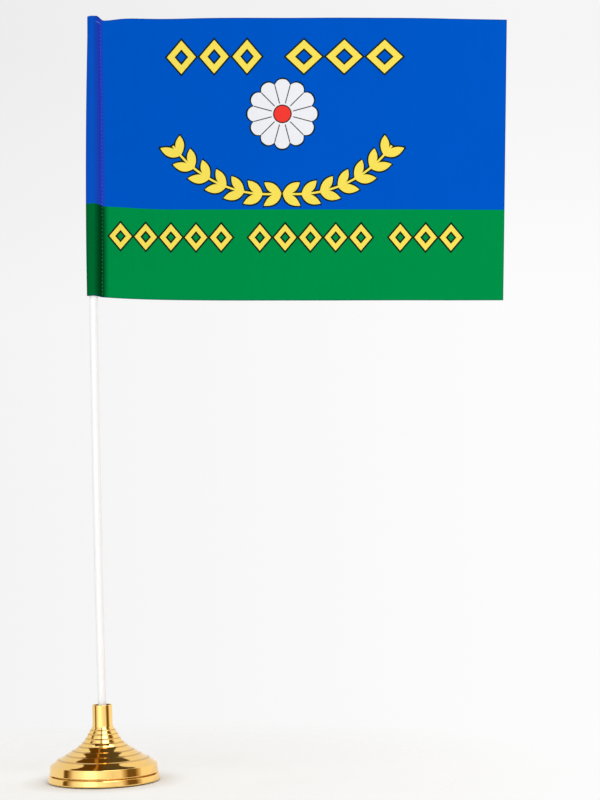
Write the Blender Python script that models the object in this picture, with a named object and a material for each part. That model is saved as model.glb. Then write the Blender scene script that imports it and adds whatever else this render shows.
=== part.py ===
"""Desk flag stand: a weighted gold base, a slim white pole and a small flag sewn round it.

Sizes are millimetres in the constants and metres in the scene. The origin is the centre of the
base's underside, +Z runs up the socket, +X runs from the pole towards the flag's free end, and
the front faces -Y.
"""

import math

import bmesh
import bpy
from mathutils import Matrix

MM = 0.001

# Shared clearances
FLOOR_GAP = 0.35  # between one piece and the piece it stands on
POLE_GAP = 0.32  # between the pole and its socket

# Base bell: the plated cover, from its neck down to its skirt
NECK_TOP = 41.0
NECK_RADIUS = 5.3
NECK_WAIST_RADIUS = 5.4
NECK_WAIST_HEIGHT = 30.6
NECK_BORE_RADIUS = 4.55
NECK_EDGE = 0.3  # rounding of the neck's rim
LEDGE_DROP = 0.45
# Each ledge of the flare: its height, the radius of the band above it and of the band below it
FLARE_LEDGES = (
    (28.0, 6.3, 6.8),
    (25.9, 7.6, 8.1),
    (23.6, 8.8, 9.4),
    (21.4, 10.4, 11.1),
    (19.5, 12.5, 13.3),
    (17.3, 15.7, 16.6),
    (15.1, 19.2, 20.1),
    (12.8, 23.4, 24.6),
)
SHOULDER = ((25.8, 11.6), (27.0, 10.7), (27.7, 10.1), (28.3, 9.4))
SKIRT_TOP = (28.7, 8.8)
SKIRT_BOTTOM = (29.1, 4.9)
BELL_BOTTOM = 4.5
BELL_WALL = 1.2
SKIRT_BORE_RADIUS = 27.4
SKIRT_BORE_TOP = 8.2

# Foot tray: the ring under the groove and the floor that closes the base
FOOT_RADIUS = 30.0
FOOT_TOP = 4.0
FOOT_BOTTOM = 0.6
TRAY_FLOOR_UNDER = 0.85
TRAY_FLOOR_TOP = 1.95
TRAY_LIP_OUTER = 27.0
TRAY_LIP_INNER = 25.9
TRAY_LIP_TOP = 6.4
PAD_RECESS_RADIUS = 28.2

# Base pad: a thin disc that the whole stand rests on
PAD_RADIUS = 27.8
PAD_THICKNESS = 0.5

# Ballast ring
BALLAST_OUTER = 25.5
BALLAST_INNER = 7.6
BALLAST_BOTTOM = TRAY_FLOOR_TOP + FLOOR_GAP
BALLAST_TOP = 6.5
BALLAST_EDGE = 0.5

# Pole and its socket
POLE_RADIUS = 2.3
POLE_BORE_RADIUS = 1.45
POLE_BOTTOM = 8.0
POLE_TOP = 408.0
POLE_TIP_BOW = 4.9  # how far the tip leans towards the flag
BOW_START = 41.0
BOW_POWER = 2.5
SOCKET_RADIUS = 4.15
SOCKET_MOUTH = 37.2
SOCKET_MOUTH_CHAMFER = 0.5
SOCKET_FLANGE_RADIUS = 7.1
SOCKET_FLANGE_TOP = 4.0
SOCKET_BOTTOM = TRAY_FLOOR_TOP + FLOOR_GAP

# Flag, measured from the line its sleeve turns about. Its frame is tilted with the bowed pole.
PIVOT_X = 2.94
PIVOT_HEIGHT = 333.5
HOIST_TILT = math.radians(1.3725)
SLEEVE_RADIUS = 3.1
SLEEVE_BORE_RADIUS = 2.78
SLEEVE_CAP_UNDER = 74.95
SLEEVE_CAP_TOP = 75.6
CLOTH_HALF = 0.3
SEAM_DISTANCE = 4.8
SEAM_HALF = 0.45
FLY_DISTANCE = 220.5
TOP_EDGE = 74.6
TOP_EDGE_SAG = 1.6  # lower at the free end than at the hoist
SEAM_PUCKER = 1.3
SEAM_PUCKER_REACH = 8.0
BOTTOM_EDGE = -76.9
HOIST_LIFT = 2.5  # the sleeve rides higher than the field beside it
HOIST_LIFT_REACH = 26.0

# Sewing
THREAD_WIDTH = 0.35
THREAD_THICKNESS = 0.3
THREAD_GAP = 0.3
TACK_SIZE = (2.2, 0.5, 0.9)
TACK_BELOW_EDGE = 1.2
TACK_LEAN = 0.67  # the tack follows the sleeve's swell

# Facets round each turned piece
BASE_SIDES = 72
SMALL_SIDES = 32
BODY_STATIONS = 32  # rings along the pole


def clear_scene():
    """Removes every object that the new file starts with."""
    for thing in list(bpy.data.objects):
        bpy.data.objects.remove(thing, do_unlink=True)


def surface(name, colour, roughness, metallic=0.0):
    """A plain Principled material for one piece."""
    material = bpy.data.materials.new(name)
    material.use_nodes = True
    shader = material.node_tree.nodes["Principled BSDF"]
    shader.inputs["Base Color"].default_value = (*colour, 1.0)
    shader.inputs["Roughness"].default_value = roughness
    shader.inputs["Metallic"].default_value = metallic
    return material


def finished(name, shape, material):
    """Turns a bmesh into a smooth-shaded object with outward faces and sharp creases kept."""
    bmesh.ops.remove_doubles(shape, verts=shape.verts, dist=1e-6)
    bmesh.ops.recalc_face_normals(shape, faces=shape.faces)
    mesh = bpy.data.meshes.new(name)
    shape.to_mesh(mesh)
    shape.free()
    mesh.shade_smooth()
    mesh.set_sharp_from_angle(angle=math.radians(30.0))
    mesh.materials.append(material)
    thing = bpy.data.objects.new(name, mesh)
    bpy.context.scene.collection.objects.link(thing)
    return thing


def turned(name, outline, sides, material):
    """A body turned about +Z from (radius, height) points.

    An outline that starts and ends on the axis is closed by the axis. Any other outline is closed
    from its last point to its first.
    """
    shape = bmesh.new()
    corners = [shape.verts.new((radius * MM, 0.0, height * MM)) for radius, height in outline]
    edges = [shape.edges.new(pair) for pair in zip(corners, corners[1:])]
    if outline[0][0] > 0.0:
        edges.append(shape.edges.new((corners[-1], corners[0])))
    bmesh.ops.spin(
        shape,
        geom=corners + edges,
        cent=(0.0, 0.0, 0.0),
        axis=(0.0, 0.0, 1.0),
        angle=2.0 * math.pi,
        steps=sides,
        use_merge=True,
    )
    return finished(name, shape, material)


def bell_outline():
    """The bell's section: down the stepped outside, then up the inside one wall thickness in."""
    outside = [
        (NECK_BORE_RADIUS, NECK_TOP - NECK_EDGE),
        (NECK_BORE_RADIUS + NECK_EDGE, NECK_TOP),
        (NECK_RADIUS - NECK_EDGE, NECK_TOP),
        (NECK_RADIUS, NECK_TOP - NECK_EDGE),
        (NECK_WAIST_RADIUS, NECK_WAIST_HEIGHT),
        (NECK_WAIST_RADIUS + 0.25, NECK_WAIST_HEIGHT - 1.3),
    ]
    for height, above, below in FLARE_LEDGES:
        outside.append((above, height))
        outside.append((below, height - LEDGE_DROP))
    outside += [
        *SHOULDER,
        SKIRT_TOP,
        SKIRT_BOTTOM,
        (SKIRT_BOTTOM[0] - 0.4, BELL_BOTTOM),
    ]
    inside = [(SKIRT_BORE_RADIUS, BELL_BOTTOM), (SKIRT_BORE_RADIUS, SKIRT_BORE_TOP)]
    inside += [(radius - BELL_WALL, height - BELL_WALL) for radius, height in SHOULDER[::-2]]
    for height, above, _ in reversed(FLARE_LEDGES[1:]):
        inside.append((above - BELL_WALL, height - BELL_WALL))
    inside.append((NECK_BORE_RADIUS, NECK_WAIST_HEIGHT - 4.5))
    return outside + inside


def tray_outline():
    """The tray's section, from the middle of its floor over the lip and round the foot ring."""
    return [
        (0.0, TRAY_FLOOR_TOP),
        (TRAY_LIP_INNER, TRAY_FLOOR_TOP),
        (TRAY_LIP_INNER, TRAY_LIP_TOP),
        (TRAY_LIP_OUTER, TRAY_LIP_TOP),
        (TRAY_LIP_OUTER, FOOT_TOP),
        (FOOT_RADIUS - 0.6, FOOT_TOP),
        (FOOT_RADIUS - 0.4, FOOT_TOP - 0.35),
        (FOOT_RADIUS, FOOT_BOTTOM + 0.4),
        (FOOT_RADIUS - 0.3, FOOT_BOTTOM),
        (PAD_RECESS_RADIUS, FOOT_BOTTOM),
        (PAD_RECESS_RADIUS, TRAY_FLOOR_UNDER),
        (0.0, TRAY_FLOOR_UNDER),
    ]


def ballast_outline():
    """The ballast's section: a flat ring with its outer edges taken off."""
    return [
        (BALLAST_INNER, BALLAST_BOTTOM),
        (BALLAST_INNER, BALLAST_TOP),
        (BALLAST_OUTER - BALLAST_EDGE, BALLAST_TOP),
        (BALLAST_OUTER, BALLAST_TOP - BALLAST_EDGE),
        (BALLAST_OUTER, BALLAST_BOTTOM + BALLAST_EDGE),
        (BALLAST_OUTER - BALLAST_EDGE, BALLAST_BOTTOM),
    ]


def socket_outline():
    """The socket's section: a blind tube on a flange, with a chamfered mouth."""
    bore = POLE_RADIUS + POLE_GAP
    return [
        (0.0, POLE_BOTTOM - FLOOR_GAP),
        (bore, POLE_BOTTOM - FLOOR_GAP),
        (bore, SOCKET_MOUTH - SOCKET_MOUTH_CHAMFER),
        (bore + SOCKET_MOUTH_CHAMFER, SOCKET_MOUTH),
        (SOCKET_RADIUS, SOCKET_MOUTH),
        (SOCKET_RADIUS, SOCKET_FLANGE_TOP),
        (SOCKET_FLANGE_RADIUS, SOCKET_FLANGE_TOP),
        (SOCKET_FLANGE_RADIUS, SOCKET_BOTTOM),
        (0.0, SOCKET_BOTTOM),
    ]


def pole_bow(height):
    """How far the pole's centre stands towards the flag at this height, in millimetres."""
    free = max(0.0, (height - BOW_START) / (POLE_TOP - BOW_START))
    return POLE_TIP_BOW * free**BOW_POWER


def make_pole(material):
    """The pole: a straight tube with rings along it, bent by the bow."""
    heights = [
        POLE_BOTTOM + (POLE_TOP - POLE_BOTTOM) * step / BODY_STATIONS
        for step in range(BODY_STATIONS + 1)
    ]
    outline = [(POLE_RADIUS, height) for height in heights]
    outline += [(POLE_BORE_RADIUS, height) for height in reversed(heights)]
    pole = turned("pole", outline, SMALL_SIDES, material)
    for corner in pole.data.vertices:
        corner.co.x += pole_bow(corner.co.z / MM) * MM
    return pole


def top_edge(distance):
    """Height of the cloth's top edge at this distance from the pole, in the hoist's frame."""
    sag = TOP_EDGE_SAG * (distance / FLY_DISTANCE) ** 2
    pucker = SEAM_PUCKER * math.exp(-(((distance - SEAM_DISTANCE) / SEAM_PUCKER_REACH) ** 2))
    return TOP_EDGE - sag - pucker


def bottom_edge(distance):
    """Height of the cloth's bottom edge at this distance from the pole."""
    return BOTTOM_EDGE + HOIST_LIFT * math.exp(-max(distance, 0.0) / HOIST_LIFT_REACH)


def cloth_columns():
    """(distance, half thickness, bottom, top) along the flag, from the hoist fold to the fly."""
    columns = []
    for step in range(12):
        angle = math.pi - math.radians(135.0) * step / 11
        distance = SLEEVE_RADIUS * math.cos(angle)
        half = SLEEVE_RADIUS * math.sin(angle)
        columns.append((distance, half, bottom_edge(distance), SLEEVE_CAP_TOP))
    columns.append((SEAM_DISTANCE, SEAM_HALF, bottom_edge(SEAM_DISTANCE), top_edge(SEAM_DISTANCE)))
    panel_steps = 20
    for step in range(1, panel_steps + 1):
        along = (step / panel_steps) ** 1.6
        distance = SEAM_DISTANCE + (FLY_DISTANCE - SEAM_DISTANCE) * along
        columns.append((distance, CLOTH_HALF, bottom_edge(distance), top_edge(distance)))
    return columns


def make_flag(material):
    """The cloth: a sleeve round the pole that closes on the seam, and the flat field beyond it."""
    shape = bmesh.new()
    rows = []
    for distance, half, bottom, top in cloth_columns():
        rows.append(
            [
                shape.verts.new((distance * MM, side * half * MM, height * MM))
                for side, height in ((-1, bottom), (-1, top), (1, top), (1, bottom))
            ]
        )
    for near, far in zip(rows, rows[1:]):
        for corner in range(4):
            following = (corner + 1) % 4
            shape.faces.new((near[corner], far[corner], far[following], near[following]))
    shape.faces.new(rows[-1])
    cloth = finished("flag_cloth", shape, material)
    cloth.matrix_world = hoist_frame()

    outline = [
        (0.0, SLEEVE_CAP_UNDER),
        (SLEEVE_BORE_RADIUS, SLEEVE_CAP_UNDER),
        (SLEEVE_BORE_RADIUS, BOTTOM_EDGE - 10.0),
        (0.0, BOTTOM_EDGE - 10.0),
    ]
    cutter = turned("sleeve_bore_cutter", outline, SMALL_SIDES, material)
    cutter.matrix_world = hoist_frame()
    cutter.hide_render = True
    cutter.display_type = "WIRE"
    bore = cloth.modifiers.new("sleeve_bore", "BOOLEAN")
    bore.operation = "DIFFERENCE"
    bore.solver = "EXACT"
    bore.object = cutter
    return cloth


def hoist_frame():
    """The flag's frame: origin on the line it turns about, local +Z along that line."""
    place = Matrix.Translation((PIVOT_X * MM, 0.0, PIVOT_HEIGHT * MM))
    return place @ Matrix.Rotation(HOIST_TILT, 4, "Y")


def block(name, low, high, material, edge=0.0, lean=0.0):
    """A box between two corners in the flag's frame, with its edges rounded by `edge`.

    `lean` moves its near end forwards by that share of the box's length.
    """
    shape = bmesh.new()
    bmesh.ops.create_cube(shape, size=1.0)
    for corner in shape.verts:
        for axis in range(3):
            share = corner.co[axis] + 0.5
            corner.co[axis] = (low[axis] + (high[axis] - low[axis]) * share) * MM
        corner.co.y -= lean * (high[0] * MM - corner.co.x)
    if edge:
        bmesh.ops.bevel(
            shape, geom=list(shape.edges), offset=edge * MM, segments=2, affect="EDGES"
        )
    thing = finished(name, shape, material)
    thing.matrix_world = hoist_frame()
    return thing


def make_sewing(material):
    """The seam's two threads and the tack at the sleeve's top."""
    half = THREAD_WIDTH / 2
    low = bottom_edge(SEAM_DISTANCE) + 1.0
    high = top_edge(SEAM_DISTANCE) - 0.6
    near = SEAM_HALF + THREAD_GAP
    far = near + THREAD_THICKNESS
    left, right = SEAM_DISTANCE - half, SEAM_DISTANCE + half
    block("seam_thread_front", (left, -far, low), (right, -near, high - 1.6), material)
    block("seam_thread_back", (left, near, low), (right, far, high), material)
    length, depth, height = TACK_SIZE
    tack_low = (right - length, -near - depth, high - TACK_BELOW_EDGE)
    tack_high = (right, -near, tack_low[2] + height)
    block("sleeve_top_tack", tack_low, tack_high, material, edge=0.12, lean=TACK_LEAN)


def main():
    clear_scene()
    gold = (0.93, 0.68, 0.23)
    turned("base_bell", bell_outline(), BASE_SIDES, surface("bell_gold", gold, 0.1, 1.0))
    turned("foot_tray", tray_outline(), BASE_SIDES, surface("tray_gold", gold, 0.1, 1.0))
    iron = surface("ballast_iron", (0.2, 0.2, 0.2), 0.7, 0.6)
    turned("ballast_ring", ballast_outline(), BASE_SIDES, iron)
    dark_plastic = surface("socket_plastic", (0.06, 0.05, 0.04), 0.5)
    turned("pole_socket", socket_outline(), SMALL_SIDES, dark_plastic)
    pad = [(0.0, PAD_THICKNESS), (PAD_RADIUS, PAD_THICKNESS), (PAD_RADIUS, 0.0), (0.0, 0.0)]
    turned("base_pad", pad, BASE_SIDES, surface("pad_foam", (0.03, 0.03, 0.03), 0.9))
    make_pole(surface("pole_plastic", (0.9, 0.9, 0.9), 0.3))
    make_flag(surface("flag_polyester", (0.0, 0.2, 0.6), 0.8))
    make_sewing(surface("sewing_thread", (0.02, 0.08, 0.35), 0.7))


main()
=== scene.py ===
"""The looks of a desk flag stand: a plated base, a slim white pole and a small printed flag.

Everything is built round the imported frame. Lengths in the constants are millimetres; a mesh is
made in metres. The front faces -Y, +X runs from the pole to the flag's free end.
"""

import math

import bmesh
import bpy
import numpy as np
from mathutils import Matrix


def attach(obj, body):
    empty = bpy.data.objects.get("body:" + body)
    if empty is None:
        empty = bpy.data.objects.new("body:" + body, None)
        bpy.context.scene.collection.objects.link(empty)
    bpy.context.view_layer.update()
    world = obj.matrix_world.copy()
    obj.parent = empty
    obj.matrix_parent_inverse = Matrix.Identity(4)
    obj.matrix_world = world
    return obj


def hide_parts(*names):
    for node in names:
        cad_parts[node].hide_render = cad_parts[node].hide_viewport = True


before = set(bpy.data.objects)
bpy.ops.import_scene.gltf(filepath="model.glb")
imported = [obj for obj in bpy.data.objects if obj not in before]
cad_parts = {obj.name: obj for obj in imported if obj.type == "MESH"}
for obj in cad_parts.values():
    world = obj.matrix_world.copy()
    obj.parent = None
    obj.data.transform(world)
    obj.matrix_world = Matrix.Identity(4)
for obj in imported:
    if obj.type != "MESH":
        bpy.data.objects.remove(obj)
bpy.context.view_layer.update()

MM = 0.001

# Base bell: (height, radius of the band above, radius of the band below) of each turned ledge
FLARE_LEDGES = (
    (28.0, 6.3, 6.8),
    (25.9, 7.6, 8.1),
    (23.6, 8.8, 9.4),
    (21.4, 10.4, 11.1),
    (19.5, 12.5, 13.3),
    (17.3, 15.7, 16.6),
    (15.1, 19.2, 20.1),
    (12.8, 23.4, 24.6),
)
LEDGE_DROP = 0.45
BAND_CROWN = 0.05  # how far each band between two ledges bulges
NECK_TOP, NECK_RADIUS, NECK_BORE = 41.0, 5.3, 4.55
BELL_WALL = 1.2

# Pole
POLE_RADIUS, POLE_BORE = 2.3, 1.45
POLE_BOTTOM, POLE_TOP = 8.0, 408.0
BOW_START, BOW_POWER, TIP_BOW = 41.0, 2.5, 4.9

# Flag, in the frame of the line that its sleeve turns about
PIVOT = (2.94, 0.0, 333.5)
HOIST_TILT = math.radians(1.3725)
SLEEVE_RADIUS = 2.72  # of the cloth's middle, round the pole
CLOTH_HALF = 0.12  # half the cloth's thickness
LAYER_HALF = 0.13  # half the distance between the two layers at the seam
SEAM = 4.8
ALLOWANCE = 1.9  # width of the turned-in edge behind the seam
NOTCH = 6.2  # where the sewing pinches the top edge down
FLY = 220.5
CLOTH_BOTTOM, CLOTH_TOP = -76.9, 74.6
FIELD_LINE = -28.1  # where the blue field meets the green one, far from the hoist
LINE_AT_SEAM = -25.2  # the same at the seam, once the sewing has drawn the cloth up
STITCH = 2.0
THREAD_RADIUS, TACK_THREAD_RADIUS = 0.13, 0.09
TACK_BARS, TACK_HEIGHT = 13, 71.9
RIB, COURSE = 0.45, 0.38  # spacing of the knit's loops, across and up

STUDIO_LIGHT = 1.325  # how bright a white cloth that faces the front would show


# ---------------------------------------------------------------- shader maths


class Value:
    """A number that changes over a surface. Python's operators on it add Math nodes."""

    def __init__(self, finish, socket):
        self.finish = finish
        self.socket = socket

    def __add__(self, other):
        return self.finish.maths("ADD", self, other)

    def __radd__(self, other):
        return self.finish.maths("ADD", other, self)

    def __sub__(self, other):
        return self.finish.maths("SUBTRACT", self, other)

    def __rsub__(self, other):
        return self.finish.maths("SUBTRACT", other, self)

    def __mul__(self, other):
        return self.finish.maths("MULTIPLY", self, other)

    def __rmul__(self, other):
        return self.finish.maths("MULTIPLY", other, self)

    def __truediv__(self, other):
        return self.finish.maths("DIVIDE", self, other)

    def __pow__(self, other):
        return self.finish.maths("POWER", self, other)

    def __neg__(self):
        return self.finish.maths("MULTIPLY", self, -1.0)

    def __abs__(self):
        return self.finish.maths("ABSOLUTE", self)

    def least(self, other):
        return self.finish.maths("MINIMUM", self, other)

    def most(self, other):
        return self.finish.maths("MAXIMUM", self, other)

    def sine(self):
        return self.finish.maths("SINE", self)

    def root(self):
        return self.finish.maths("SQRT", self)

    def floor(self):
        return self.finish.maths("FLOOR", self)

    def fraction(self):
        return self.finish.maths("FRACT", self)

    def clamped(self):
        return self.least(1.0).most(0.0)

    def rising(self, start, end):
        """0 before start, 1 after end, and a straight rise between."""
        return ((self - start) / (end - start)).clamped()

    def between(self, low, high, soft):
        """1 from low to high, falling to 0 over the width soft outside each."""
        return self.rising(low - soft, low) * (1.0 - self.rising(high, high + soft))

    def inside(self, soft=0.14):
        """1 where this signed distance is negative, with an edge of width soft."""
        return (0.5 - self / soft).clamped()


class Finish:
    """A node tree under construction, for one material or for the light all round."""

    def __init__(self, tree):
        self.tree = tree
        tree.nodes.clear()

    def node(self, kind, settings=None, inputs=None, output=0):
        """Adds a node: its settings first, then the value or link of each socket named."""
        made = self.tree.nodes.new(kind)
        for name, value in (settings or {}).items():
            setattr(made, name, value)
        for name, value in (inputs or {}).items():
            if isinstance(value, Value):
                self.tree.links.new(value.socket, made.inputs[name])
            else:
                made.inputs[name].default_value = value
        return Value(self, made.outputs[output])

    def maths(self, operation, *values):
        return self.node("ShaderNodeMath", {"operation": operation}, dict(enumerate(values)))

    def mix(self, share, first, second):
        """The colour `first`, turning into `second` as share goes from 0 to 1."""
        inputs = {0: share, 6: first, 7: second}
        return self.node("ShaderNodeMix", {"data_type": "RGBA"}, inputs, 2)

    def parts(self, vector):
        """The three numbers of a vector."""
        split = self.node("ShaderNodeSeparateXYZ", None, {0: vector})
        outputs = split.socket.node.outputs
        return [Value(self, outputs[axis]) for axis in range(3)]

    def point(self, x, y, z):
        return self.node("ShaderNodeCombineXYZ", None, {0: x, 1: y, 2: z})

    def place(self):
        """The three coordinates of the point on the piece, in millimetres."""
        here = self.node("ShaderNodeTexCoord", None, None, "Object")
        scale = {"operation": "SCALE"}
        return self.parts(self.node("ShaderNodeVectorMath", scale, {0: here, "Scale": 1000.0}))

    def noise(self, where, scale, detail=2.0, roughness=0.5):
        """Cloudy variation, about 0.5, with features 1/scale wide in the units of `where`."""
        inputs = {"Vector": where, "Scale": scale, "Detail": detail, "Roughness": roughness}
        return self.node("ShaderNodeTexNoise", None, inputs)

    def bumped(self, height, depth, strength=1.0):
        """The surface's normal with this height, 0 to 1, standing `depth` millimetres proud."""
        inputs = {"Height": height, "Distance": depth * MM, "Strength": strength}
        return self.node("ShaderNodeBump", None, inputs)


def material(name):
    made = bpy.data.materials.new(name)
    made.use_nodes = True
    return made, Finish(made.node_tree)


def close(finish, shader, output="ShaderNodeOutputMaterial"):
    """Ends a node tree with the output that shows this shader."""
    out = finish.tree.nodes.new(output)
    finish.tree.links.new(shader.socket, out.inputs["Surface"])


def surfaced(finish, **sockets):
    """Closes a material with one Principled shader; socket names have _ for a space."""
    inputs = {name.replace("_", " "): value for name, value in sockets.items()}
    close(finish, finish.node("ShaderNodeBsdfPrincipled", None, inputs))


def dye(red, green, blue):
    """The linear base colour that shows as this 0..255 display colour in the studio's light."""
    steps = np.array([red, green, blue]) / 255.0
    linear = np.where(steps <= 0.04045, steps / 12.92, ((steps + 0.055) / 1.055) ** 2.4)
    return (*(linear / STUDIO_LIGHT).tolist(), 1.0)


# ---------------------------------------------------------------- mesh helpers


def smooth(share):
    """0 below 0, 1 above 1, and 3s^2 - 2s^3 between."""
    share = np.clip(share, 0.0, 1.0)
    return share * share * (3.0 - 2.0 * share)


def grid_faces(rows, columns, wrap_rows=False, wrap_columns=False):
    """Quads between neighbouring points of a grid that is stored row by row."""
    down = np.arange(rows if wrap_rows else rows - 1)
    along = np.arange(columns if wrap_columns else columns - 1)
    row, column = np.meshgrid(down, along, indexing="ij")
    below, beside = (row + 1) % rows, (column + 1) % columns
    corners = (
        row * columns + column,
        below * columns + column,
        below * columns + beside,
        row * columns + beside,
    )
    return np.stack(corners, axis=-1).reshape(-1, 4)


def make_piece(name, points, faces, finish, uv=None):
    """A smooth closed mesh from points in millimetres. uv gives one pair for each point."""
    mesh = bpy.data.meshes.new(name)
    mesh.from_pydata((np.asarray(points) * MM).tolist(), [], np.asarray(faces).tolist())
    if uv is not None:
        corner_points = np.empty(len(mesh.loops), np.int32)
        mesh.loops.foreach_get("vertex_index", corner_points)
        layer = mesh.uv_layers.new(name="cloth_flat")
        layer.data.foreach_set("uv", uv[corner_points].astype(np.float32).ravel())
    shape = bmesh.new()
    shape.from_mesh(mesh)
    bmesh.ops.remove_doubles(shape, verts=shape.verts, dist=1e-8)
    bmesh.ops.recalc_face_normals(shape, faces=shape.faces)
    shape.to_mesh(mesh)
    shape.free()
    mesh.shade_smooth()
    mesh.materials.append(finish)
    piece = bpy.data.objects.new(name, mesh)
    bpy.context.scene.collection.objects.link(piece)
    return piece


def rounded(corners, steps=6):
    """A section line with its corners rounded; each corner is (radius, height, reach).

    A corner P becomes the parabola (1-t)^2 A + 2t(1-t) P + t^2 B, where A and B lie on its two
    sides, `reach` from P, or at 0.48 of the side if that is nearer.
    """
    corners = np.asarray(corners, float)
    here, reach = corners[:, :2], corners[:, 2:]
    before, after = np.roll(here, 1, axis=0), np.roll(here, -1, axis=0)

    def towards(other):
        side = other - here
        length = np.linalg.norm(side, axis=1, keepdims=True)
        return here + side * np.minimum(reach / length, 0.48)

    start, end = towards(before), towards(after)
    share = (1.0 - np.cos(np.pi * np.arange(steps + 1) / steps)) / 2.0
    share = share[None, :, None]
    curve = (
        (1 - share) ** 2 * start[:, None]
        + 2 * share * (1 - share) * here[:, None]
        + share**2 * end[:, None]
    )
    return curve.reshape(-1, 2)


def turned(section, sides):
    """Points (r cos a, r sin a, z) of a section turned about the upright axis."""
    angle = 2.0 * np.pi * np.arange(sides) / sides
    radius, height = section[:, :1], section[:, 1:]
    across = np.ones(sides)
    points = (radius * np.cos(angle), radius * np.sin(angle), height * across)
    return np.stack(points, axis=-1).reshape(-1, 3)


def tube(path, radius, sides=8):
    """A thread of this radius along a path, with closed ends.

    Round each path point P lie P + r (cos a N + sin a B), where N and B are square to the path,
    and the two end rings shrink onto the path.
    """
    along = np.gradient(path, axis=0)
    along /= np.linalg.norm(along, axis=1, keepdims=True)
    side = np.cross(along, np.array([0.31, -0.93, 0.17]))
    side /= np.linalg.norm(side, axis=1, keepdims=True)
    third = np.cross(along, side)
    angle = 2.0 * np.pi * np.arange(sides) / sides
    width = np.full(len(path), radius)
    width[[0, -1]] = 0.0
    cosine, sine = np.cos(angle)[None, :, None], np.sin(angle)[None, :, None]
    ring = cosine * side[:, None] + sine * third[:, None]
    points = path[:, None] + width[:, None, None] * ring
    return points.reshape(-1, 3), grid_faces(len(path), sides, wrap_columns=True)


# ---------------------------------------------------------------- finishes


def plated_gold():
    """Bright brass-coloured plating on moulded plastic: mirror-like, faintly wavy, lightly worn.

    A dark brown band along each turned ledge is painted shade in its corner, with a rougher surface
    there;
    hairline scratches run round the base, and the plating's colour drifts slightly over the part.
    """
    made, finish = material("plated_gold")
    x, y, z = finish.place()
    here = finish.point(x, y, z)
    drift = finish.noise(here, 0.05, 1.0)
    cloud = finish.noise(here, 0.35, 3.0)
    radius = (x * x + y * y).root()
    round_it = finish.point(radius * 9.0, z * 9.0, finish.maths("ARCTAN2", y, x) * 1.4)
    hairline = finish.noise(round_it, 1.0, 2.0, 0.6).rising(0.67, 0.72)
    speck = finish.noise(here, 1.9, 1.0).rising(0.76, 0.79)
    # Painted shade: this mask darkens the colour in a narrow band along each ledge's corner.
    ledge_shade = 0.0
    for height, _, _ in FLARE_LEDGES:
        off = abs(z - (height - LEDGE_DROP * 0.6))
        ledge_shade = ledge_shade + (1.0 - off / 0.42).most(0.0)
    colour = finish.mix(drift.rising(0.35, 0.65), (0.98, 0.66, 0.22, 1.0), (0.95, 0.60, 0.18, 1.0))
    colour = finish.mix((ledge_shade * 0.8).least(0.5), colour, (0.40, 0.17, 0.02, 1.0))
    colour = finish.mix(speck * 0.5, colour, (0.45, 0.25, 0.06, 1.0))
    height = cloud * 0.9 + finish.noise(here, 0.12, 1.0) * 2.0 - hairline * 0.05
    surfaced(
        finish,
        Base_Color=colour,
        Metallic=1.0,
        Roughness=0.035 + cloud * 0.03 + hairline * 0.12 + speck * 0.2 + ledge_shade * 0.15,
        Normal=finish.bumped(height, 0.02, 0.6),
    )
    return made


def pole_plastic():
    """White extruded plastic with faint drag lines along it and a few dull scuffs."""
    made, finish = material("pole_plastic")
    x, y, z = finish.place()
    drag = finish.noise(finish.point(x * 4.0, y * 4.0, z * 0.02), 1.0, 2.0)
    scuff = finish.noise(finish.point(x * 0.5, y * 0.5, z * 0.12), 1.0, 4.0, 0.6).rising(0.6, 0.75)
    colour = finish.mix(drag, (0.835, 0.84, 0.85, 1.0), (0.80, 0.805, 0.82, 1.0))
    surfaced(
        finish,
        Base_Color=finish.mix(scuff * 0.25, colour, (0.70, 0.69, 0.68, 1.0)),
        Roughness=0.26 + scuff * 0.2 + drag * 0.06,
        Normal=finish.bumped(drag, 0.02, 0.5),
    )
    return made


def ballast_iron():
    """Grey cast iron: a grainy skin, darker in its pits, with patches of light rust."""
    made, finish = material("ballast_iron")
    here = finish.point(*finish.place())
    grain = finish.noise(here, 2.2, 4.0, 0.6)
    rust = finish.noise(here, 0.25, 4.0, 0.65).rising(0.55, 0.7)
    colour = finish.mix(grain, (0.05, 0.05, 0.055, 1.0), (0.16, 0.16, 0.17, 1.0))
    surfaced(
        finish,
        Base_Color=finish.mix(rust * 0.6, colour, (0.13, 0.05, 0.02, 1.0)),
        Metallic=0.7 - rust * 0.5,
        Roughness=0.5 + grain * 0.2 + rust * 0.2,
        Normal=finish.bumped(grain, 0.12),
    )
    return made


def socket_plastic():
    """Dark moulded plastic with a fine matt grain and faint marks down the draw of its mould."""
    made, finish = material("socket_plastic")
    x, y, z = finish.place()
    grain = finish.noise(finish.point(x, y, z), 5.0, 3.0)
    draw = finish.noise(finish.point(x * 2.0, y * 2.0, z * 0.06), 1.0, 2.0)
    surfaced(
        finish,
        Base_Color=finish.mix(draw, (0.035, 0.030, 0.026, 1.0), (0.06, 0.052, 0.045, 1.0)),
        Roughness=0.42 + grain * 0.18,
        Normal=finish.bumped(grain + draw * 0.5, 0.03),
    )
    return made


def pad_foam():
    """Black closed-cell foam: small open pores, and a little dust."""
    made, finish = material("pad_foam")
    here = finish.point(*finish.place())
    settings = {"feature": "F1"}
    cell = finish.node("ShaderNodeTexVoronoi", settings, {"Vector": here, "Scale": 2.4})
    dust = finish.noise(here, 0.4, 3.0).rising(0.5, 0.75)
    colour = finish.mix(cell, (0.012, 0.012, 0.013, 1.0), (0.045, 0.045, 0.047, 1.0))
    surfaced(
        finish,
        Base_Color=finish.mix(dust * 0.3, colour, (0.14, 0.13, 0.12, 1.0)),
        Roughness=0.82 + cell * 0.15,
        Normal=finish.bumped(cell, 0.1),
    )
    return made


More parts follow.
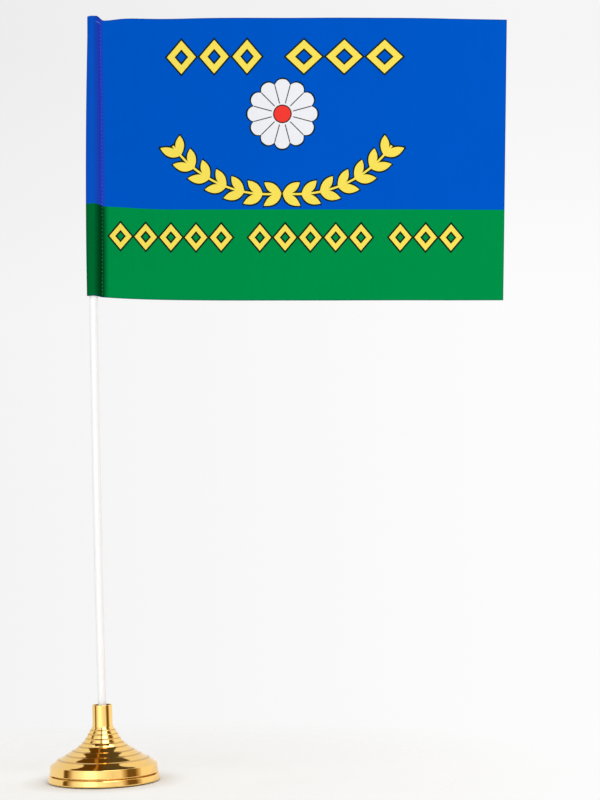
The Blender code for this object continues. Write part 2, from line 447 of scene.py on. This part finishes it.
def sewing_thread():
    """Twisted thread, dyed with the cloth it is sewn into, with a painted highlight on the ridges
    of its twist and painted shade between them.
    """
    made, finish = material("sewing_thread")
    x, y, z = finish.place()
    twist = (z * 9.0 + finish.maths("ARCTAN2", y, x - SEAM) * 2.0 + x * 6.0).sine() * 0.5 + 0.5
    fuzz = finish.noise(finish.point(x, y, z), 6.0, 2.0)
    low = (z - (PIVOT[2] + LINE_AT_SEAM)).inside(1.0)
    # Painted light: the colour is paler on the twist's ridges and darker between them.
    groove_shade = finish.mix(low, dye(62, 100, 212), dye(48, 130, 84))
    ridge_highlight = finish.mix(low, dye(96, 146, 240), dye(90, 184, 134))
    colour = finish.mix(twist, groove_shade, ridge_highlight)
    surfaced(
        finish,
        Base_Color=finish.mix(fuzz * 0.06, colour, dye(150, 170, 200)),
        Roughness=0.55 + fuzz * 0.2,
        Normal=finish.bumped(twist, 0.06),
        Specular_IOR_Level=0.1,
    )
    return made


# ---------------------------------------------------------------- the flag's print


# The second colour of each of these two pairs is painted shade: the field's colour darkened for
# where the cloth lies double.
BLUE, SHADED_BLUE = dye(0, 90, 208), dye(38, 62, 196)
GREEN, SHADED_GREEN = dye(0, 149, 74), dye(0, 64, 27)
YELLOW = dye(258, 236, 96)
WHITE = dye(248, 250, 256)
RED = dye(252, 64, 56)
LINE = dye(22, 36, 30)
OUTLINE = 0.9  # width of the dark line round the yellow and white shapes
EMBLEM = (101.3, 8.1)  # the point that the laurels and the rosette are laid out from
ROSETTE_RISE, ROSETTE_RADIUS, ROSETTE_PETALS = 15.0, 18.6, 12
HUB_RADIUS, HUB_LINE = 4.4, 0.6
# Each row of lozenges: left end, pitch, count, height of its middle, half width, half height, band
LOZENGE_ROWS = (
    (38.6, 17.5, 3, 53.8, 7.7, 9.0, 3.1),
    (101.9, 21.5, 3, 53.8, 9.6, 9.0, 3.3),
    (8.0, 13.5, 5, -43.1, 6.0, 7.1, 2.4),
    (82.7, 13.56, 5, -43.1, 6.0, 7.1, 2.4),
    (158.0, 13.6, 3, -43.1, 6.0, 7.1, 2.4),
)
LINE_BEND, LINE_BEND_REACH = 1.15, 20.0  # how the fields' line bends up towards the hoist


def lozenge_row(x, y, left, pitch, count, middle, half_width, half_height, band):
    """Signed distance to a row of hollow lozenges.

    A lozenge is |x|/a + |y|/b - 1, divided by its slope so that it counts in millimetres. What is
    kept of it is a band of width `band` just inside its edge.
    """
    cell = ((x - left) / pitch).floor().most(0.0).least(count - 1.0)
    across = abs(x - (left + pitch / 2) - cell * pitch)
    slope = math.hypot(1 / half_width, 1 / half_height)
    edge = (across / half_width + abs(y - middle) / half_height - 1.0) / slope
    return abs(edge + band / 2) - band / 2


def rosette(finish, x, y):
    """Signed distance to a rosette, its share of line between petals, and distance to its middle.

    Its edge is at radius (1 - 0.15 |2a|^2.5), where a runs from -1/2 to 1/2 across each petal.
    """
    petal_angle = 2 * math.pi / ROSETTE_PETALS
    away = (x * x + y * y).root()
    turn = finish.maths("ARCTAN2", x, y) * (1 / petal_angle)
    petal = abs((turn + 0.5).fraction() - 0.5)
    edge = away - ROSETTE_RADIUS * (1.0 - 0.15 * (petal * 2.0) ** 2.5)
    gap = (0.5 - petal) * away * petal_angle
    start, end = ROSETTE_RADIUS * 0.30, ROSETTE_RADIUS * 0.33
    lines = (gap - 0.26).inside() * away.rising(start, end)
    return edge, lines, away


def laurel(finish, x, y):
    """Signed distance to two sprays of leaves that curve up and out from the middle.

    A spray follows a circle about (8, 34) with radius 62. Along it, every 10 mm, one pointed leaf
    leans out on each side; a leaf is |b| - h (1 - (a/l)^2) in its own long and short directions.
    """
    centre_x, centre_y, radius, pitch = 8.0, 34.0, 62.0, 10.0
    right = abs(x) - centre_x
    down = centre_y - y
    off = (right * right + down * down).root() - radius
    along = finish.maths("ARCTAN2", right, down) * radius + centre_x
    cell = (along / pitch).floor().most(0.0).least(6.0)
    forward = along - (cell + 0.5) * pitch
    beside = abs(off) - 3.1
    lean = math.radians(34.0)
    length = forward * math.cos(lean) + beside * math.sin(lean)
    width = beside * math.cos(lean) - forward * math.sin(lean)
    half_length, half_width = 5.6, 2.35
    share = (length / half_length).least(1.0).most(-1.0)
    leaf = abs(width) - half_width * (1.0 - share * share)
    leaf = leaf.most(abs(length) - (half_length - 0.1))
    stem = (abs(off) - 0.55).most(abs(along - 34.0) - 33.0)
    return leaf.least(stem)


def green_share(finish, x, y):
    """1 in the green field and 0 in the blue one.

    Their line bends up by LINE_BEND exp(-(x / LINE_BEND_REACH)^2).
    """
    bend = finish.maths("EXPONENT", x * x * (-1 / LINE_BEND_REACH**2)) * LINE_BEND
    return (y - bend - FIELD_LINE).inside(0.25)


def printed_colour(finish, x, y):
    """The flag's ink at a point of the flat cloth, in millimetres."""
    across, up = x - EMBLEM[0], y - EMBLEM[1]
    yellow = laurel(finish, across, up)
    for row in LOZENGE_ROWS:
        yellow = yellow.least(lozenge_row(x, y, *row))
    flower, petal_lines, away = rosette(finish, across, up - ROSETTE_RISE)

    colour = finish.mix(green_share(finish, x, y), BLUE, GREEN)
    colour = finish.mix((yellow - OUTLINE).inside(), colour, LINE)
    colour = finish.mix(yellow.inside(), colour, YELLOW)
    colour = finish.mix((flower - OUTLINE).inside(), colour, LINE)
    colour = finish.mix(flower.inside(), colour, WHITE)
    colour = finish.mix(petal_lines * (flower + 0.2).inside(), colour, LINE)
    colour = finish.mix((away - (HUB_RADIUS + HUB_LINE)).inside(), colour, LINE)
    return finish.mix((away - HUB_RADIUS).inside(), colour, RED)


def flag_polyester():
    """Thin warp-knitted polyester, printed, with its colours a little weaker on the back.

    Ribs of loops run up the cloth 0.45 mm apart. Where two layers lie together, in the sleeve
    and over the turned-in edge, less light comes through, and the print is darkened there as
    painted shade. The painted shade is strongest from the pole to the seam, and weakest on the
    sleeve's side of the pole.
    """
    lengths, across, _ = cloth_line()
    fold = float(lengths[np.argmin(across)])
    made, finish = material("flag_polyester")
    flat = finish.node("ShaderNodeUVMap", {"uv_map": "cloth_flat"})
    across, up, _ = finish.parts(flat)
    back = across.rising(0.5, 0.51)
    x, y = (across - back) * 1000.0, up * 1000.0
    colour = printed_colour(finish, x, y)

    # Painted shade over the sleeve and the turned-in edge: a share of 0 to 1 that darkens the print
    # towards its shaded colours.
    from_fold = abs(x - fold)
    sleeve = 0.58 + 0.15 * (1.0 - from_fold.rising(0.0, 2.5)) + 0.42 * from_fold.rising(4.8, 8.4)
    turned_in_shade = 0.92 * (1.0 - x.rising(SEAM + 0.6, SEAM + ALLOWANCE + 1.7))
    past_seam = x.rising(SEAM - 0.05, SEAM + 0.05)
    depth = sleeve * (1.0 - past_seam) + turned_in_shade * past_seam
    low = green_share(finish, x, y)
    share = depth * low + (1.0 - low) * depth**3.5
    colour = finish.mix(share, colour, finish.mix(low, SHADED_BLUE, SHADED_GREEN))

    rib = (x * (2 * math.pi / RIB)).sine() * 0.5 + 0.5
    course = (y * (2 * math.pi / COURSE) + rib * 1.2).sine() * 0.5 + 0.5
    streak = finish.noise(finish.point(x * 0.9, y * 0.012, 0.0), 1.0, 2.0)
    cloud = finish.noise(finish.point(x, y, 0.0), 0.03, 2.0)
    # Random streaks and clouds of tone, and a painted light gradient that brightens the colour
    # towards the fly.
    streaks_and_painted_light = finish.mix(
        (streak + cloud - 1.0) * 0.4 + 0.5 + (x - FLY / 2) * (0.5 / FLY),
        (0.92, 0.92, 0.92, 1.0),
        (1.08, 1.08, 1.08, 1.0),
    )
    multiply = {"data_type": "RGBA", "blend_type": "MULTIPLY"}
    colour = finish.node("ShaderNodeMix", multiply, {0: 1.0, 6: colour, 7: streaks_and_painted_light}, 2)

    edge = (FLY + 0.1 - x).least(y - CLOTH_BOTTOM).least(CLOTH_TOP - y)
    sealed = (edge - 0.55).inside(0.3)
    colour = finish.mix(sealed * 0.35, colour, dye(12, 62, 120))
    colour = finish.mix(back * 0.05, colour, (0.6, 0.6, 0.62, 1.0))
    surfaced(
        finish,
        Base_Color=colour,
        Roughness=0.66 + rib * 0.08 - sealed * 0.2,
        Normal=finish.bumped(rib * 0.6 + course * 0.4, 0.035, 0.7),
        Specular_IOR_Level=0.0,
    )
    return made


# ---------------------------------------------------------------- the base


def bell_section():
    """The bell's section: down the ledges outside, and up the wall's thickness inside."""
    outside = [
        (NECK_BORE, NECK_TOP, 0.3),
        (NECK_RADIUS, NECK_TOP, 0.3),
        (5.4, 30.6, 1.0),
        (5.65, 29.3, 0.5),
    ]
    last = outside[-1]
    for height, above, below in FLARE_LEDGES:
        middle = ((last[0] + above) / 2, (last[1] + height) / 2)
        slope = math.atan2(above - last[0], last[1] - height)
        bulge = (BAND_CROWN * math.cos(slope), BAND_CROWN * math.sin(slope))
        outside.append((middle[0] + bulge[0], middle[1] + bulge[1], 9.0))
        outside.append((above, height, 0.12))
        last = (below, height - LEDGE_DROP)
        outside.append((*last, 0.12))
    outside += [
        (26.8, 10.5, 1.2),
        (28.62, 9.42, 0.16),
        (29.12, 4.9, 0.3),
        (28.6, 4.5, 0.15),
    ]
    inside = [(27.4, 4.5, 0.1), (27.4, 8.2, 0.3), (26.0, 9.4, 0.6), (24.4, 10.9, 0.6)]
    inside += [
        (above - BELL_WALL, height - BELL_WALL, 0.5) for height, above, _ in FLARE_LEDGES[:0:-1]
    ]
    inside.append((NECK_BORE, 26.1, 0.5))
    return rounded(outside + inside)


def tray_section():
    """The foot tray's section: its floor, the lip inside the bell and the ring under the groove."""
    outline = [
        (0.0, 1.95, 0.0),
        (25.9, 1.95, 0.3),
        (25.9, 6.4, 0.2),
        (27.0, 6.4, 0.2),
        (27.0, 4.05, 0.15),
        (29.45, 4.05, 0.3),
        (29.65, 3.5, 0.4),
        (30.0, 1.0, 0.4),
        (29.75, 0.6, 0.3),
        (28.2, 0.6, 0.1),
        (28.2, 0.85, 0.1),
        (0.0, 0.85, 0.0),
    ]
    return rounded(outline)[6:-6]


def make_base(gold):
    sides = 192
    section = bell_section()
    faces = grid_faces(len(section), sides, wrap_rows=True, wrap_columns=True)
    bell = make_piece("bell_shell", turned(section, sides), faces, gold)
    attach(bell, "base")
    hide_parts("base_bell")

    section = tray_section()
    faces = grid_faces(len(section), sides, wrap_columns=True)
    tray = make_piece("foot_ring", turned(section, sides), faces, gold)
    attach(tray, "base")
    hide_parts("foot_tray")


# ---------------------------------------------------------------- the pole


def pole_bow(height):
    """How far the pole's centre stands towards the flag: tip bow times share of height^2.5."""
    share = np.clip((height - BOW_START) / (POLE_TOP - BOW_START), 0.0, None)
    return TIP_BOW * share**BOW_POWER


def make_pole(plastic):
    """A tube with rounded lips, its section carried up the bowed line.

    It is left out of the gold's reflections, so that the base mirrors the studio alone.
    """
    lip = 0.28
    heights = np.linspace(POLE_BOTTOM + 1.0, POLE_TOP - 1.0, 120)
    ends = [
        (POLE_RADIUS, POLE_TOP, lip),
        (POLE_BORE, POLE_TOP, lip),
        (POLE_BORE, POLE_BOTTOM, lip),
        (POLE_RADIUS, POLE_BOTTOM, lip),
    ]
    lips = rounded(ends).reshape(4, -1, 2)
    outer = np.stack([np.full_like(heights, POLE_RADIUS), heights], axis=-1)
    inner = np.stack([np.full_like(heights, POLE_BORE), heights[::-1]], axis=-1)
    section = np.concatenate([outer, lips[0], lips[1], inner, lips[2], lips[3]])
    points = turned(section, 48)
    points[:, 0] += pole_bow(points[:, 2])
    faces = grid_faces(len(section), 48, wrap_rows=True, wrap_columns=True)
    pole = make_piece("pole_tube", points, faces, plastic)
    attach(pole, "pole")
    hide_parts("pole")
    pole.visible_glossy = False


# ---------------------------------------------------------------- the flag


def from_hoist(points):
    """Points of the hoist's frame, tilted with the pole and moved to the line it turns about."""
    across, depth, up = np.moveaxis(points, -1, 0)
    turn_x = across * math.cos(HOIST_TILT) + up * math.sin(HOIST_TILT)
    turn_z = up * math.cos(HOIST_TILT) - across * math.sin(HOIST_TILT)
    return np.stack([turn_x, depth, turn_z], axis=-1) + np.array(PIVOT)


def cloth_line():
    """The cloth seen from above, as (length along it, distance from the pole, depth).

    It comes in along the front to the seam, leaves it on a straight line that touches the sleeve's
    circle, runs round the pole and back to the seam, and ends in the turned-in edge. Its corners
    are softened by averaging over 0.8 mm.
    """
    reach = math.hypot(SEAM, LAYER_HALF)
    touch = math.atan2(LAYER_HALF, SEAM) + math.acos(SLEEVE_RADIUS / reach)
    angle = np.linspace(-touch, -2 * math.pi + touch, 240)
    circle = SLEEVE_RADIUS * np.stack([np.cos(angle), np.sin(angle)], axis=-1)
    line = np.concatenate(
        [
            [(20.0, -LAYER_HALF), (SEAM, -LAYER_HALF)],
            circle,
            [(SEAM, LAYER_HALF), (SEAM + ALLOWANCE + 0.8, LAYER_HALF)],
        ]
    )
    length = np.concatenate([[0.0], np.cumsum(np.linalg.norm(np.diff(line, axis=0), axis=1))])
    fine = np.arange(0.0, length[-1], 0.04)
    spots = np.stack([np.interp(fine, length, line[:, axis]) for axis in (0, 1)], axis=-1)
    window = np.hanning(21)
    window /= window.sum()
    kept = slice(10, len(fine) - 10)
    softened = [np.convolve(spots[:, axis], window, mode="valid") for axis in (0, 1)]
    return 20.0 - fine[kept], softened[0], softened[1]


def seam_drift(up):
    """How far the seam wanders from its mean distance: it closes in towards the top."""
    return -0.0048 * up - 0.00007 * up**2


def sleeve_reach(up):
    """How far the sleeve's middle stands out on its free side: slackest just below halfway."""
    return np.maximum(3.81 - 1.30 * ((up + 22.0) / 95.0) ** 2, 2.76) - CLOTH_HALF


def top_edge(across):
    """Height of the cloth's top edge: highest over the pole, pinched at the seam."""
    sag = 1.6 * (across / 220.0) ** 2 + 0.55 * np.exp(-(((across - 38.0) / 18.0) ** 2))
    sag -= 0.48 * np.exp(-(((across - 150.0) / 55.0) ** 2))
    pucker = 1.3 * np.exp(-((np.maximum(across - NOTCH, 0.0) / 8.0) ** 2))
    sleeve = 2.45 * (1.0 - smooth((across - 1.9) / 4.2))
    shoulder = 0.75 * (1.0 - np.sqrt(np.clip(1.0 - (np.minimum(across, 0.0) / 2.95) ** 2, 0, 1)))
    return CLOTH_TOP - sag - pucker + sleeve - shoulder


def bottom_edge(across):
    """Height of the cloth's bottom edge: lifted by the sewing towards the hoist."""
    lift = 2.05 * np.exp(-np.maximum(across - 5.7, 0.0) / 26.0)
    lift -= 0.15 * smooth((across - 165.0) / 30.0)
    return CLOTH_BOTTOM + 0.05 + lift + 0.85 * (1.0 - smooth((across - 1.0) / 4.5))


def cloth_middle(lengths, ups):
    """The cloth's middle surface in the hoist's frame, for each up (rows) and length (columns).

    Past 14 mm from the pole the cloth is its own flat length, with slow shallow waves in depth.
    Nearer, it follows the line round the pole, and its last millimetre closes over the pole's tip.
    """
    line_length, line_across, line_depth = (part[::-1] for part in cloth_line())
    near = lengths < 14.0
    across = np.where(near, np.interp(lengths, line_length, line_across), lengths)
    depth = np.where(near, np.interp(lengths, line_length, line_depth), -LAYER_HALF)
    across, depth, up = np.broadcast_arrays(across[None], depth[None], ups[:, None])
    across = np.where(across < 0, across * sleeve_reach(up) / SLEEVE_RADIUS, across)
    near_seam = smooth(across / 3.0) * (1.0 - smooth((across - SEAM) / 8.0))
    across = across + near_seam * seam_drift(up)

    share = (up - CLOTH_BOTTOM) / (CLOTH_TOP - CLOTH_BOTTOM)
    low, high = bottom_edge(across), top_edge(across)
    height = low + share * (high - low)

    panel = smooth((across - 12.0) / 50.0) * (lengths > 0)[None]
    wave = 0.42 * np.sin(2 * np.pi * (across / 118 + up / 420) + 0.6)
    wave += 0.20 * np.sin(2 * np.pi * (across / 47 - up / 240) + 2.1)
    wave += 0.9 * smooth((across - 185) / 40) * smooth((-up - 30) / 60)
    pleat = 0.10 * np.exp(-(((across - 10) / 5) ** 2)) * np.sin(2 * np.pi * up / 11.5)
    pleat = pleat * smooth((lengths - SEAM - ALLOWANCE) / 2.0)[None]

    closing = np.clip((height - (high - 1.0)) / 1.0, 0.0, 1.0)
    left = np.sqrt(np.clip(1.0 - closing**2, 0.0, 1.0))
    sleeve = (lengths < SEAM)[None]
    shut = np.sign(depth) * (LAYER_HALF + 0.01 + np.maximum(np.abs(depth) - LAYER_HALF, 0) * left)
    depth = np.where(sleeve & (np.abs(depth) > LAYER_HALF), shut, depth)
    across = across + 1.17 * (up / 75.0) * (np.maximum(across, 0) / 220.0)
    return np.stack([across, depth + panel * wave + pleat, height], axis=-1)


def make_flag(polyester):
    """The cloth as one closed sheet: its middle surface, half a thickness out and half in.

    Like the pole, it is left out of the gold's reflections.
    """
    inner_end = cloth_line()[0][-1] + 0.6
    lengths = np.concatenate(
        [
            np.linspace(FLY, FLY - 1.2, 4)[:-1],
            np.linspace(FLY - 1.2, 16.0, 176)[:-1],
            np.linspace(16.0, inner_end, 112),
        ]
    )
    ups = np.concatenate(
        [
            np.linspace(CLOTH_BOTTOM, CLOTH_BOTTOM + 1.2, 4)[:-1],
            np.linspace(CLOTH_BOTTOM + 1.2, CLOTH_TOP - 2.0, 118)[:-1],
            np.linspace(CLOTH_TOP - 2.0, CLOTH_TOP, 14),
        ]
    )
    middle = cloth_middle(lengths, ups)
    across = np.gradient(middle, axis=1)
    rise = np.gradient(middle, axis=0)
    out = np.cross(across, rise)
    out /= np.linalg.norm(out, axis=-1, keepdims=True)
    if out[len(ups) // 2, 20, 1] > 0:
        out = -out
    face, back = middle + out * CLOTH_HALF, middle - out * CLOTH_HALF
    loop = np.concatenate([face, back[:, ::-1]], axis=1)
    rows, columns = loop.shape[:2]
    count = len(lengths)
    faces = grid_faces(rows, columns, wrap_columns=True)
    here = np.arange(count - 1)
    cap = np.stack([here, here + 1, columns - 2 - here, columns - 1 - here], axis=-1)
    faces = np.concatenate([faces, cap, cap + (rows - 1) * columns])

    side = np.concatenate([lengths * MM, lengths[::-1] * MM + 1.0])
    flat = np.stack(np.broadcast_arrays(side[None], ups[:, None] * MM), axis=-1)
    points = from_hoist(loop).reshape(-1, 3)
    cloth = make_piece("flag_panel", points, faces, polyester, flat.reshape(-1, 2))
    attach(cloth, "flag")
    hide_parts("flag_cloth")
    cloth.visible_glossy = False
    return cloth, float(FLY - inner_end)


def make_stitches(thread):
    """Lock stitches down both sides of the seam, and the tack across the sleeve's corner.

    The thread's depth is -0.10 + 0.35 |sin(pi up / stitch)| from the cloth's middle, so that it
    goes through both layers and shows as one short bar after another.
    """
    made = []
    seam = np.array([SEAM])
    low, high = float(bottom_edge(seam)[0]) + 0.9, float(top_edge(seam)[0]) - 0.7
    up = np.linspace(low, high, 65 * 8)
    show = np.abs(np.sin(np.pi * (up - low) / STITCH))
    for name, side, node in (
        ("seam_stitches_front", -1, "seam_thread_front"),
        ("seam_stitches_back", 1, "seam_thread_back"),
    ):
        depth = side * (0.35 * show - 0.10)
        path = np.stack([SEAM + seam_drift(up), depth, up], axis=-1)
        points, faces = tube(from_hoist(path), THREAD_RADIUS)
        piece = make_piece(name, points, faces, thread)
        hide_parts(node)
        made.append(piece)

    share = np.linspace(0.0, 1.0, TACK_BARS * 6)
    across = SEAM - 0.1 - 2.3 * share
    swell = LAYER_HALF + CLOTH_HALF + (SEAM - across) * 0.65
    show = np.abs(np.sin(np.pi * share * TACK_BARS)) ** 0.6
    zigzag = np.abs(((share * TACK_BARS / 2) % 1.0) * 2 - 1) * 0.9 - 0.45
    height = TACK_HEIGHT + 0.8 * share + zigzag
    path = np.stack([across + seam_drift(height), -(swell - 0.14 + 0.16 * show), height], axis=-1)
    points, faces = tube(from_hoist(path), TACK_THREAD_RADIUS)
    tack = make_piece("corner_tack_stitches", points, faces, thread)
    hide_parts("sleeve_top_tack")
    made.append(tack)
    for piece in made:
        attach(piece, "flag")
    return made


# ---------------------------------------------------------------- studio


def make_floor():
    """A pale round floor that glows a little, with its glow painted darker round the base as a
    painted contact shadow.

    It thins out to nothing, so that no horizon shows.
    """
    made, finish = material("studio_floor")
    x, y, _ = finish.place()
    away = (x * x + y * y).root()
    grain = finish.noise(finish.point(x, y, 0.0), 0.02, 2.0)
    dark = (0.25, 0.24, 0.20, 1.0)
    inputs = {
        "Base Color": finish.mix(grain, (0.60, 0.60, 0.59, 1.0), (0.64, 0.64, 0.63, 1.0)),
        "Roughness": 0.9,
        "Specular IOR Level": 0.0,
        # Painted contact shadow: the glow is darkened out to 28 mm from the middle, fading out by
        # 46 mm.
        "Emission Color": finish.mix(away.rising(28.0, 46.0), dark, (0.93, 0.93, 0.93, 1.0)),
        "Emission Strength": 0.26,
    }
    paper = finish.node("ShaderNodeBsdfPrincipled", None, inputs)
    clear = finish.node("ShaderNodeBsdfTransparent")
    inputs = {0: away.rising(60.0, 260.0), 1: paper, 2: clear}
    close(finish, finish.node("ShaderNodeMixShader", None, inputs))

    rings, sides = 24, 96
    radius = np.linspace(0.0, 262.0, rings)
    section = np.stack([radius, np.zeros(rings)], axis=-1)
    points = turned(section, sides)
    floor = make_piece("studio_floor", points, grid_faces(rings, sides, wrap_columns=True), made)


def make_surround():
    """White light all round, a weak soft box low on the left, a strong one high on the right.

    A dark card with a gap in it hangs overhead, and narrow screens stand on both sides. turn and
    rise are a direction's compass angle from the front and its height above the horizon. lift is
    how far it swings up from the front and over, and side how far it leans to +X. All are in
    degrees. Seen directly, as the background of any view, the studio is plain pale air.
    """
    world = bpy.data.worlds.new("studio_surround")
    bpy.context.scene.world = world
    world.use_nodes = True
    finish = Finish(world.node_tree)
    x, y, z = finish.parts(finish.node("ShaderNodeTexCoord", None, None, "Generated"))
    degrees = 180.0 / math.pi
    turn = finish.maths("ARCTAN2", x, -y) * degrees
    rise = finish.maths("ARCSINE", z.least(1.0).most(-1.0)) * degrees
    lift = finish.maths("ARCTAN2", z, -y) * degrees
    side = finish.maths("ARCSINE", x.least(1.0).most(-1.0)) * degrees

    behind = y.rising(0.5, 0.9) * rise.rising(2.0, 7.5)
    open_air = 0.905 + 0.07 * x.rising(-0.12, 0.08) - behind * 0.06 + 0.08 * x.rising(0.3, 0.8)
    low = rise.between(-12.0, 22.0, 8.0)
    boxes = turn.rising(-64.0, -42.0) * (1.0 - turn.rising(-8.0, 22.0)) * low * 0.48
    boxes = boxes + turn.between(-31.0, -17.0, 9.0) * low * 0.55
    boxes = boxes + side.between(-30.0, -3.0, 3.0) * lift.between(25.0, 92.0, 6.0) * 0.25
    boxes = boxes + side.between(3.0, 29.0, 2.5) * lift.between(26.0, 94.0, 6.0) * 2.6

    left_screen = turn.rising(-92.0, -87.0) * (1.0 - turn.rising(-80.0, -64.0))
    right_screen = turn.rising(40.0, 57.0) * (1.0 - turn.rising(74.0, 92.0))
    screens = left_screen * rise.between(-20.0, 35.0, 15.0)
    screens = screens.most(right_screen * rise.between(-20.0, 50.0, 16.0))
    card = side.between(-22.0, 16.0, 1.5) * lift.between(85.0, 126.0, 3.0)
    slit = side.between(-10.0, -3.0, 1.5) * lift.between(30.0, 84.0, 4.0)
    card_gap = x.between(-0.15, -0.12, 0.02) * 0.35
    light = (open_air + boxes * (1.0 - card)) * (1.0 - screens * 0.83)
    light = light * (1.0 - card * (0.88 - card_gap)) * (1.0 - slit * 0.6)

    white = (1.0, 1.0, 1.0, 1.0)
    card_tint = finish.mix(x.rising(-0.06, 0.04), (1.0, 0.48, 0.08, 1.0), (0.85, 0.70, 0.42, 1.0))
    tint = finish.mix(screens, white, (1.0, 0.60, 0.18, 1.0))
    tint = finish.mix(card, tint, card_tint)

    seen = finish.node("ShaderNodeLightPath", None, None, "Is Camera Ray")
    inputs = {
        "Color": finish.mix(seen, tint, white),
        "Strength": light * (1.0 - seen) + open_air * seen,
    }
    close(finish, finish.node("ShaderNodeBackground", None, inputs), "ShaderNodeOutputWorld")


def make_camera():
    """Straight on to the flag's face and level, a little off upright, from 1.4 m."""
    lens = bpy.data.cameras.new("camera")
    lens.lens, lens.sensor_width = 118.8, 36.0
    camera = bpy.data.objects.new("camera", lens)
    camera.location = (0.1102, -1.412, 0.2009)
    camera.rotation_euler = (math.radians(90.0), math.radians(1.55), 0.0)
    bpy.context.scene.collection.objects.link(camera)
    bpy.context.scene.camera = camera
    bpy.context.scene.view_settings.view_transform = "Standard"


def keep_node(name, finish):
    """Shows a frame node as it is, with a better finish."""
    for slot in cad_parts[name].material_slots:
        slot.material = finish


def main():
    make_camera()
    make_surround()
    make_floor()
    make_base(plated_gold())
    make_pole(pole_plastic())
    keep_node("ballast_ring", ballast_iron())
    keep_node("pole_socket", socket_plastic())
    keep_node("base_pad", pad_foam())
    cloth, cut_width = make_flag(flag_polyester())
    stitches = make_stitches(sewing_thread())


main()
